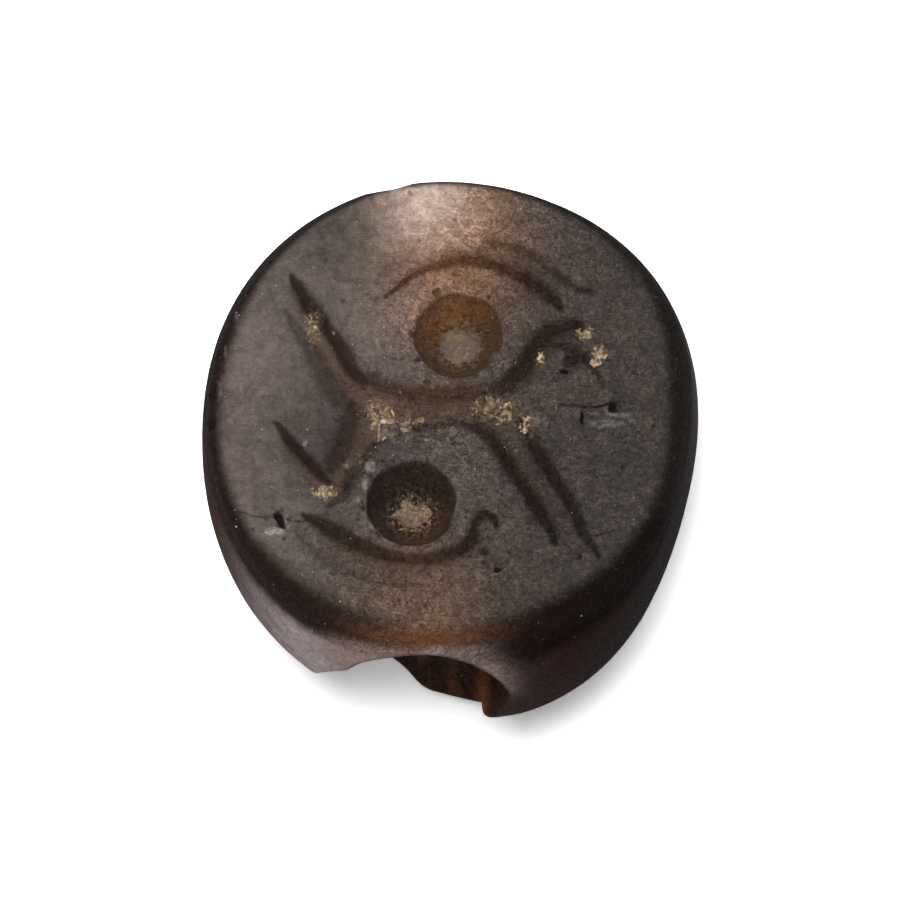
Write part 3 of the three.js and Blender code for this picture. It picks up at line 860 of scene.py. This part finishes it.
def paint_stone(piece, points, normal):
    """Shares of each colour at each point of the stone, for its material."""
    x, y, z = points.T
    near_face = toward_face(z, 1.6, 0.6)
    on_face = near_face * smooth_step((normal[:, 2] + 0.15) / 0.5)
    values = {name: read_map(name, x, y) * on_face for name in FACE_MAPS if name != "depth"}
    angle = np.arctan2(y, x) % TURN
    degrees = np.degrees(angle)
    inside = np.interp(angle, OUTLINE_ANGLES, FACE_OUTLINE) - np.hypot(x, y)
    bore_gap = -bore_distance(x, y, z)
    broken = smooth_step((-blank_distance(x, y, z) - 0.05) / 0.15) * (z < STONE_HEIGHT - 1)
    glow, ember = painted_glow_shares(x, y, inside)
    near_left, right = bell(degrees, 240, 24), bell((degrees + 165) % 360, 180, 24)
    # The pale lip over the mouth: painted light through the thin stone there, and the pale scar of the
    # chip
    reach = 2.6 - 0.9 * smooth_step((x + 1.2) / 2.5)
    thin = smooth_step((reach - bore_gap) / 1.5) * smooth_step((z - 7) / 2)
    below_rim = smooth_step((0.03 - inside) / 0.3)
    values.update({
        "face": toward_face(z, 2.2, 1.6),
        # Painted shade in the band inside the rim
        "rim": rim_shade_share(x, y, inside, angle) * toward_face(z, 2.6, 1.2),
        "bore": np.maximum(1 - smooth_step((bore_gap - 0.03) / 0.3), broken),
        "thick": bore_gap,
        "vein": bell(bore_place(x, y)[0], 2.15, 0.22) * (y < 0),
        # Painted glow where light comes through the thin stone over the bore
        "glow": glow * near_face,
        # Painted highlight at the far end, with light coming through the thin stone there
        "frost": bell(x, -0.8, 1.9) * smooth_step((y - 5.8) / 3.2) * near_face,
        # Painted ember glow where light comes through the thin near rim
        "ember": ember * near_face,
        "blush": bell(degrees, 200, 18) * smooth_step((0.1 - inside) / 0.4),
        # Painted sheen on the side, on the near left and the right
        "bloom": (1 - toward_face(z, 2.2, 1.7)) * (near_left + 0.4 * right),
        "lip": thin * below_rim * smooth_step(-y - 7) * smooth_step((4 - x) / 3),
    })
    for name, value in values.items():
        set_values(piece, name, value)


def make_stone():
    low = stone_low - GRID_MARGIN - GRID_SHIFT
    high = stone_high + GRID_MARGIN
    vertices, quads = surface_net(low, high, GRID_STEP)
    piece = new_mesh("carved_stone", onto_surface(vertices, 2), quads.tolist())
    height = mesh_points(piece)[:, 2]
    plain = piece.vertex_groups.new(name="plain")
    low_down = height <= STONE_HEIGHT - PLAIN_DEPTH
    for group, weight in ((~low_down, 0.0), (low_down, 1.0)):
        plain.add(np.flatnonzero(group).tolist(), weight, "REPLACE")
    thin = piece.modifiers.new("thin", "DECIMATE")
    thin.ratio = min(1, STONE_FACES / (2 * len(quads)))
    thin.vertex_group = plain.name
    thin.vertex_group_factor = PLAIN_FACTOR
    apply_modifiers(piece)
    points = onto_surface(mesh_points(piece), 2)
    slope = gradient(points)
    normal = slope / np.linalg.norm(slope, axis=1, keepdims=True)
    x, y, z = points.T
    uneven = SWELL[0] * swell(x, y, z, SWELL[1]) + ROUGH[0] * grain(x, y, z, ROUGH[1])
    shifted = points - normal * (SKIN_INSET - uneven)[:, None]
    set_points(piece, np.clip(shifted, stone_low, stone_high))
    piece.data.polygons.foreach_set("use_smooth", np.ones(len(piece.data.polygons), bool))
    piece.data.normals_split_custom_set_from_vertices(normal.astype(np.float32))
    paint_stone(piece, points, normal)
    return piece


def srgb(red, green, blue):
    """Linear colour, with alpha, of a colour given from 0 to 255."""
    linear = []
    for value in (red, green, blue):
        share = value / 255
        linear.append(share / 12.92 if share <= 0.04045 else ((share + 0.055) / 1.055) ** 2.4)
    return (*linear, 1.0)


class Nodes:
    """Shader nodes of a material or a world, made by short calls."""

    def __init__(self, owner):
        owner.use_nodes = True
        self.nodes = owner.node_tree.nodes
        self.links = owner.node_tree.links
        self.nodes.clear()

    def plug(self, socket, value):
        """Links a socket or sets a value, where a colour is given from 0 to 255."""
        if isinstance(value, bpy.types.NodeSocket):
            self.links.new(value, socket)
        elif socket.type == "RGBA":
            socket.default_value = srgb(*value)
        else:
            socket.default_value = value

    def add(self, kind, given=(), **settings):
        """A new node, with what its inputs are given by name or number."""
        node = self.nodes.new("ShaderNode" + kind)
        for name, value in settings.items():
            setattr(node, name, value)
        for key, value in dict(given).items():
            self.plug(node.inputs[key], value)
        return node

    def math(self, operation, *values):
        return self.add("Math", enumerate(values), operation=operation).outputs[0]

    def times(self, first, second):
        return self.math("MULTIPLY", first, second)

    def span(self, value, low, high, start=0.0, end=1.0):
        """A smooth change from start, where a value is low, to end, where it is high."""
        given = {"Value": value, "From Min": low, "From Max": high, "To Min": start, "To Max": end}
        return self.add("MapRange", given, interpolation_type="SMOOTHSTEP").outputs[0]


class Paint(Nodes):
    """A material's nodes, with textures laid out in millimetres."""

    def __init__(self, name):
        self.material = bpy.data.materials.new(name)
        super().__init__(self.material)
        place = self.add("TexCoord").outputs["Object"]
        given = {0: place, "Scale": 1 / MM}
        self.place = self.add("VectorMath", given, operation="SCALE").outputs[0]

    def value(self, name):
        return self.add("Attribute", attribute_name=name).outputs["Fac"]

    def axis(self, index):
        return self.add("SeparateXYZ", {0: self.place}).outputs[index]

    def mix(self, share, first, second, blend="MIX"):
        node = self.add("Mix", {"Factor": share}, data_type="RGBA", blend_type=blend)
        colours = [socket for socket in node.inputs if socket.type == "RGBA"]
        self.plug(colours[0], first)
        self.plug(colours[1], second)
        return next(socket for socket in node.outputs if socket.type == "RGBA")

    def coat(self, colour, share, most, over):
        """A colour with another laid over it, as strongly as most where the share is 1."""
        return self.mix(self.times(share, most), colour, over)

    def shade(self, colour, value, low, high, dim, bright):
        """A colour made darker and lighter by a value."""
        return self.mix(1.0, colour, self.span(value, low, high, dim, bright), "MULTIPLY")

    def noise(self, scale, detail, roughness, turn=0, stretch=None, distortion=0.0):
        place = self.place
        if stretch:
            given = {"Vector": place, "Rotation": (0, 0, math.radians(turn)), "Scale": stretch}
            place = self.add("Mapping", given).outputs[0]
        given = {"Vector": place, "Scale": scale, "Detail": detail, "Roughness": roughness,
                 "Distortion": distortion}
        return self.add("TexNoise", given).outputs[0]

    def bump(self, height, distance):
        return self.add("Bump", {"Height": height, "Distance": distance * MM}).outputs[0]

    def surface(self, colour, roughness, bump, shine, ior):
        given = {"Base Color": colour, "Roughness": roughness, "Specular IOR Level": shine,
                 "Normal": bump, "IOR": ior}
        shader = self.add("BsdfPrincipled", given)
        self.add("OutputMaterial", {"Surface": shader.outputs[0]})
        return self.material


def stone_marks(paint):
    """The shares that paint_stone gives, and the noises, each by its name."""
    names = ("face", "dark", "bowl", "bore", "rim", "glow", "frost", "ember", "bloom", "dust",
             "amber", "pale", "thick", "lip", "trough", "vein", "blush", "shade")
    at = SimpleNamespace(**{name: paint.value(name) for name in names})
    at.clouds = paint.noise(0.33, 3, 0.55)
    at.mottle = paint.noise(1.7, 5, 0.65, distortion=0.6)
    at.fine = paint.noise(5.2, 6, 0.7, distortion=0.5)
    at.specks = paint.noise(12.0, 2, 0.6)
    at.y = paint.axis(1)
    lean = paint.math("MULTIPLY_ADD", at.y, -0.3, paint.axis(0))
    at.lean = paint.math("MULTIPLY_ADD", at.clouds, 8.0, paint.math("SUBTRACT", lean, 4.0))
    wrinkle = paint.noise(1.3, 5, 0.62, distortion=1.4)
    crease = paint.math("ABSOLUTE", paint.math("SUBTRACT", wrinkle, 0.5))
    hairs = paint.times(paint.span(crease, 0.022, 0), paint.span(at.mottle, 0.4, 0.6, 0.25, 1))
    at.hairs = paint.times(hairs, paint.span(at.lean, -7, 1, 0.1, 1))
    return at


def skin_colour(paint, at):
    """Face: warm grey with painted shade that darkens it to the right, a painted tan glow where light
    comes through, and a painted highlight at the far end.
    """
    # Painted shade: the face grows darker to the right
    skin = paint.mix(paint.span(at.lean, -9, 1.5), (98, 86, 80), (92, 82, 76))
    skin = paint.mix(paint.span(at.lean, 0, 9), skin, (81, 72, 66))
    # Painted glow: tan where light comes through the thin stone
    skin = paint.mix(at.glow, skin, (150, 112, 82))
    # Painted highlight at the far end
    skin = paint.coat(skin, at.frost, 0.9, (206, 182, 168))
    skin = paint.shade(skin, at.mottle, 0.3, 0.7, 0.66, 1.38)
    return paint.shade(skin, at.shade, -0.5, 0.5, 1.75, 0.25)


def side_colour(paint, at):
    """Side: maroon black, with a painted sheen of mauve grey, a reflection of the floor, on the near left
    and the right.
    """
    side = paint.mix(paint.span(at.clouds, 0.35, 0.65), (47, 22, 18), (40, 24, 21))
    # Painted sheen: the floor's reflection on the near left, weaker on the right
    sheen_share = paint.times(at.bloom, paint.span(at.mottle, 0.2, 0.6, 0.6, 1.0))
    side = paint.mix(sheen_share, side, (176, 160, 162))
    return paint.shade(side, at.mottle, 0.3, 0.7, 0.85, 1.15)


def with_rim(paint, at, colour):
    """Rim: a band of painted shade, a red blush on the left, a pale lip over the mouth, and a painted
    ember glow in it.
    """
    # Painted shade in the band inside the rim
    colour = paint.coat(colour, at.rim, 0.93, (24, 12, 9))
    colour = paint.coat(colour, at.blush, 0.6, (76, 28, 21))
    # Pale lip: painted light through the thin stone, and the pale scar of the chip
    colour = paint.coat(colour, at.lip, 0.9, (150, 129, 122))
    # Painted ember glow where light comes through the thin near rim
    return paint.coat(colour, at.ember, 0.95, (116, 66, 29))


def with_engraving(paint, at, colour):
    """Engraving: brown floors, darker to the right; bowls with painted shade on their walls, lighter
    towards the top, and a painted amber glow where light comes through; and lines of painted shade.
    """
    floor = paint.mix(paint.span(at.lean, -3, 5), (90, 64, 49), (70, 58, 50))
    colour = paint.coat(colour, at.trough, 0.6, floor)
    # Painted shade on the cup walls, lighter towards the top where light comes through
    wall = paint.mix(paint.span(at.fine, 0.35, 0.65), (28, 18, 14), (50, 34, 26))
    wall = paint.mix(paint.span(at.y, -2, 3, 0, 0.75), wall, (92, 66, 43))
    colour = paint.coat(colour, at.bowl, 0.95, wall)
    # Painted amber glow in the cups, where light comes through
    colour = paint.coat(colour, at.amber, 0.8, (124, 82, 48))
    # Painted shade of the lines: browner where the stone over the bore is thin and light comes through,
    # darker towards the bottom
    line_shade = paint.mix(paint.span(at.thick, 4.0, 1.5), (26, 16, 12), (46, 29, 22))
    line_shade = paint.mix(paint.span(at.y, -4, -6, 0, 0.8), line_shade, (15, 10, 8))
    # Lines are lighter under the painted glow
    line_shade = paint.mix(at.glow, line_shade, (84, 54, 36))
    return paint.coat(colour, at.dark, 0.9, line_shade)


def bore_colour(paint, at):
    """Bore: dark brown, with amber streaks along it."""
    streak = paint.noise(0.5, 3, 0.6, stretch=(3.0, 0.6, 1.0))
    inner = paint.mix(paint.span(streak, 0.45, 0.65), (40, 24, 16), (66, 42, 27))
    return paint.coat(inner, at.vein, 0.8, (112, 70, 38))


def with_grain(paint, at, colour):
    """Grain of the stone, which is weaker where the surface is smooth and under the painted highlight,
    glow and ember.
    """
    smooth = paint.span(at.lean, 1, -7, 0, 0.65)
    smooth = paint.math("MAXIMUM", smooth, paint.span(at.face, 1, 0, 0, 0.6))
    for share, most in ((at.frost, 0.8), (at.bowl, 0.65), (at.bore, 0.65), (at.glow, 0.3),
                        (at.ember, 0.7), (at.lip, 0.6), (at.rim, 0.4)):
        smooth = paint.math("MAXIMUM", smooth, paint.times(share, most))
    grained = paint.shade(colour, at.fine, 0.35, 0.65, 0.6, 1.42)
    grained = paint.shade(grained, at.specks, 0.32, 0.68, 0.68, 1.36)
    grained = paint.shade(grained, at.hairs, 0, 1, 1, 0.55)
    return paint.mix(smooth, grained, colour)


def with_wear(paint, at, colour):
    """Earth dust, and pale bruises."""
    earth = paint.times(at.dust, paint.span(at.fine, 0.46, 0.62))
    colour = paint.coat(colour, earth, 0.75, (132, 118, 94))
    bruise = paint.times(at.pale, paint.span(at.fine, 0.36, 0.62, 0.2, 0.9))
    return paint.mix(bruise, colour, (176, 168, 160))


def with_crystals(paint, at, colour):
    """Two scatters of tiny bright crystals, and painted glints, small painted highlights, away from the
    dark lines.
    """
    for scale, size, least in ((2.6, 0.1, 0.75), (5.5, 0.14, 0.86)):
        cells = paint.add("TexVoronoi", {"Vector": paint.place, "Scale": scale})
        pick = paint.add("SeparateColor", {0: cells.outputs["Color"]}).outputs
        inside = paint.math("LESS_THAN", cells.outputs["Distance"], paint.span(pick[1], 0, 1, 0.02, size))
        crystal = paint.times(inside, paint.span(pick[0], least, least + 0.01))
        shown = paint.times(crystal, paint.span(pick[2], 0, 1, 0.3, 0.9))
        colour = paint.mix(shown, colour, (214, 208, 200))
    # Painted glints: small painted highlights on the face
    painted_glint = paint.span(paint.noise(9.0, 2, 0.5), 0.64, 0.8, 0, 0.5)
    painted_glint = paint.times(painted_glint, paint.span(at.dark, 0.4, 0))
    painted_glint = paint.times(painted_glint, paint.span(at.clouds, 0.4, 0.6, 0.2, 1))
    return paint.mix(paint.times(painted_glint, at.face), colour, (150, 140, 132))


def stone_bump(paint, at):
    """Mottles, specks, hairs and two sets of scratches, strongest on the right of the face."""
    height = paint.times(at.mottle, 1.2)
    scratches = [paint.noise(1.1, 4, 0.7, turn, (1.0, 16.0, 1.0)) for turn in (35, -50)]
    for value, share in ((at.specks, 0.25), (at.fine, 0.9), (at.hairs, -0.5),
                         (scratches[0], 0.4), (scratches[1], 0.4)):
        height = paint.math("MULTIPLY_ADD", value, share, height)
    rough = paint.times(paint.span(at.face, 0, 1, 0.35, 1.0), paint.span(at.lean, -4, 5, 0.8, 1.9))
    return paint.bump(paint.times(height, rough), 0.2)


def stone_shine(paint, at):
    """Shine of the face, less on the side, rim, blush, lines and bowls, more with fine grain."""
    shine = paint.span(at.face, 0.2, 1, 0.08, 0.34)
    for value, share in ((at.rim, 0.15), (at.blush, 0.3), (at.dark, 0.3), (at.bowl, 0.5), (at.fine, 1.8)):
        shine = paint.times(shine, paint.span(value, 0, 1, 1, share))
    return shine


def stone_material():
    paint = Paint("agate")
    at = stone_marks(paint)
    colour = paint.mix(at.face, side_colour(paint, at), skin_colour(paint, at))
    colour = with_engraving(paint, at, with_rim(paint, at, colour))
    colour = paint.mix(at.bore, colour, bore_colour(paint, at))
    for step in (with_grain, with_wear, with_crystals):
        colour = step(paint, at, colour)
    roughness = paint.span(at.fine, 0.3, 0.7, 0.52, 0.34)
    return paint.surface(colour, roughness, stone_bump(paint, at), stone_shine(paint, at), 1.54)


def crust_material():
    paint = Paint("earth_crust")
    tone = paint.value("tone")
    fine = paint.noise(12.0, 4, 0.65)
    patchy = paint.noise(1.6, 2, 0.5)
    colour = paint.mix(paint.span(tone, 0.1, 0.6), (74, 57, 43), (128, 106, 80))
    colour = paint.mix(paint.span(tone, 0.65, 1.05), colour, (178, 160, 130))
    colour = paint.mix(paint.span(patchy, 0.45, 0.6, 0, 0.3), colour, (118, 98, 62))
    colour = paint.shade(colour, fine, 0.3, 0.7, 0.7, 1.3)
    return paint.surface(colour, 0.6, paint.bump(fine, 0.03), 0.5, 1.5)


def heap_grains(x, y, patches, chance):
    """Height and tone of a crust's mounds and grains, above the floor of the engraving."""
    wx, wy = strayed(CRUST_WANDER, x, y)
    height = np.full(x.shape, -1.0)
    tone = np.zeros_like(x)
    for px, py, half_x, half_y, thick, count, pale, cover in patches:
        share = 1 - oval(wx, wy, (px, py), (half_x, half_y))
        mound = thick * (1.4 * smooth_step(share * 1.6 + 0.25) - 0.4) - 0.04
        mound = mound + 0.25 * thick * grain(x, y, 5, 0.22)
        mound = mound - (1 - cover) * thick * (1.1 + 1.3 * grain(x, y, 3, 0.28))
        tone = np.where(mound > height, pale * 0.45 + 0.12 * grain(x, y, 9, 0.15), tone)
        height = np.maximum(height, mound)
        for _ in range(count):
            turn, out = chance.uniform(0, TURN), chance.uniform(0, 1.2) ** 0.75
            cx = px + half_x * out * math.cos(turn)
            cy = py + half_y * out * math.sin(turn)
            size = chance.uniform(*GRAIN_SIZES) * (1.15 - 0.35 * out)
            sizes = size * chance.uniform(0.75, 1.3, 2)
            apart = oval(x, y, (cx, cy), sizes, chance.uniform(0, 180))
            nearest = np.unravel_index(np.argmin((x - cx) ** 2 + (y - cy) ** 2), x.shape)
            seat = max(height[nearest] - 0.5 * size, -0.45 * size)
            cap = np.where(apart < 1, seat + size * np.sqrt(np.clip(1 - apart**2, 0, 1)), -1)
            top = cap > height
            height = np.where(top, cap, height)
            tone = np.where(top, np.clip(chance.normal(pale, 0.24), 0, 1), tone)
    return soften(height, 1), soften(tone, 1)


def closed_faces(shown):
    """Quads over, under and around the cells of a grid that have a shown corner."""
    index = np.arange(shown.size).reshape(shown.shape)
    corners = [(slice(None, -1), slice(None, -1)), (slice(1, None), slice(None, -1)),
               (slice(1, None), slice(1, None)), (slice(None, -1), slice(1, None))]
    cells = np.any([shown[corner] for corner in corners], axis=0)
    quads = np.stack([index[corner] for corner in corners], -1)[cells]
    edges = np.concatenate([quads[:, [i, (i + 1) % 4]] for i in range(4)])
    known = {tuple(edge) for edge in edges.tolist()}
    rim = [(a, b) for a, b in known if (b, a) not in known]
    walls = [(b, a, a + shown.size, b + shown.size) for a, b in rim]
    return quads.tolist() + (quads[:, ::-1] + shown.size).tolist() + walls


def make_crust(node, patches, seed):
    """A fused lump of grains on the floor of the engraving, closed underneath."""
    centres = np.array([patch[:2] for patch in patches])
    reach = np.array([patch[2:4] for patch in patches]) * 1.5
    low, high = (centres - reach).min(0), (centres + reach).max(0)
    axes = [np.arange(a, b, CRUST_STEP) for a, b in zip(low, high)]
    x, y = np.meshgrid(*axes, indexing="ij")
    height, tone = heap_grains(x, y, patches, np.random.default_rng(seed))
    floor = STONE_HEIGHT - read_map("depth", x, y)
    top = np.minimum(floor + np.clip(height, CRUST_LOWEST, None), STONE_HEIGHT - FACE_CLEARANCE)
    points = np.stack([np.tile(x.ravel(), 2), np.tile(y.ravel(), 2),
                       np.concatenate([top.ravel(), floor.ravel() - CRUST_UNDER])], 1)
    used, renamed = np.unique(np.array(closed_faces(height > CRUST_SHOWN)), return_inverse=True)
    piece = new_mesh(node + "_grains", points[used], renamed.reshape(-1, 4).tolist())
    set_values(piece, "tone", np.tile(tone.ravel(), 2)[used])
    return piece


def dress(piece, node, material):
    piece.data.materials.clear()
    piece.data.materials.append(material)
    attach(piece, "root")
    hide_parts(node)


def make_floor():
    """Grey paper to the stone, and white to the camera."""
    corners = FLOOR_HALF * np.array([[-1, -1, 0], [1, -1, 0], [1, 1, 0], [-1, 1, 0]])
    floor = new_mesh("floor", corners - [0, 0, FLOOR_DROP], [(0, 1, 2, 3)])
    material = bpy.data.materials.new("floor_white")
    paint = Nodes(material)
    seen = paint.add("LightPath").outputs["Is Camera Ray"]
    paper = paint.add("BsdfDiffuse", {"Color": paint.span(seen, 0, 1, FLOOR_GREY, FLOOR_SHOWN)})
    shine = paint.add("Emission", {"Strength": paint.times(seen, FLOOR_LIFT)})
    both = paint.add("AddShader", {0: paper.outputs[0], 1: shine.outputs[0]})
    paint.add("OutputMaterial", {"Surface": both.outputs[0]})
    floor.data.materials.append(material)


def make_world():
    """White to the camera, and a soft grey sky for everything else."""
    world = bpy.data.worlds.new("studio")
    paint = Nodes(world)
    axes = paint.add("SeparateXYZ", {0: paint.add("TexCoord").outputs["Generated"]})
    given = {"Value": axes.outputs[2], "To Min": SKY_EDGE, "To Max": SKY_TOP}
    sky = paint.add("MapRange", given).outputs[0]
    seen = paint.add("LightPath").outputs["Is Camera Ray"]
    back = paint.add("Background", {"Strength": paint.span(seen, 0, 1, sky, 1.0)})
    paint.add("OutputWorld", {"Surface": back.outputs[0]})
    bpy.context.scene.world = world


def add_lamp(name, place, size, power):
    light = bpy.data.lights.new(name, "AREA")
    light.shape = "DISK"
    light.size = size * MM
    light.energy = power
    lamp = bpy.data.objects.new(name, light)
    lamp.location = Vector(place) * MM
    aim = Vector((0, 0, STONE_HEIGHT * MM)) - lamp.location
    lamp.rotation_euler = aim.to_track_quat("-Z", "Y").to_euler()
    bpy.context.scene.collection.objects.link(lamp)


def make_camera():
    data = bpy.data.cameras.new("camera")
    data.sensor_width = SENSOR_WIDTH
    data.lens = SENSOR_WIDTH * VIEW_DISTANCE / VIEW_WIDTH
    data.clip_start, data.clip_end = VIEW_CLIP
    camera = bpy.data.objects.new("camera", data)
    away = Vector((0, -math.cos(VIEW_ELEVATION), math.sin(VIEW_ELEVATION)))
    camera.location = (Vector(VIEW_TARGET) + away * VIEW_DISTANCE) * MM
    camera.rotation_euler = (-away).to_track_quat("-Z", "Y").to_euler()
    bpy.context.scene.collection.objects.link(camera)
    bpy.context.scene.camera = camera


make_camera()
make_world()
make_floor()
for lamp in LAMPS:
    add_lamp(*lamp)
bpy.context.scene.view_settings.view_transform = "Standard"
dress(make_stone(), "stone_body", stone_material())
crust = crust_material()
for number, (node, patches) in enumerate(CRUSTS.items()):
    dress(make_crust(node, patches, number + 10), node, crust)
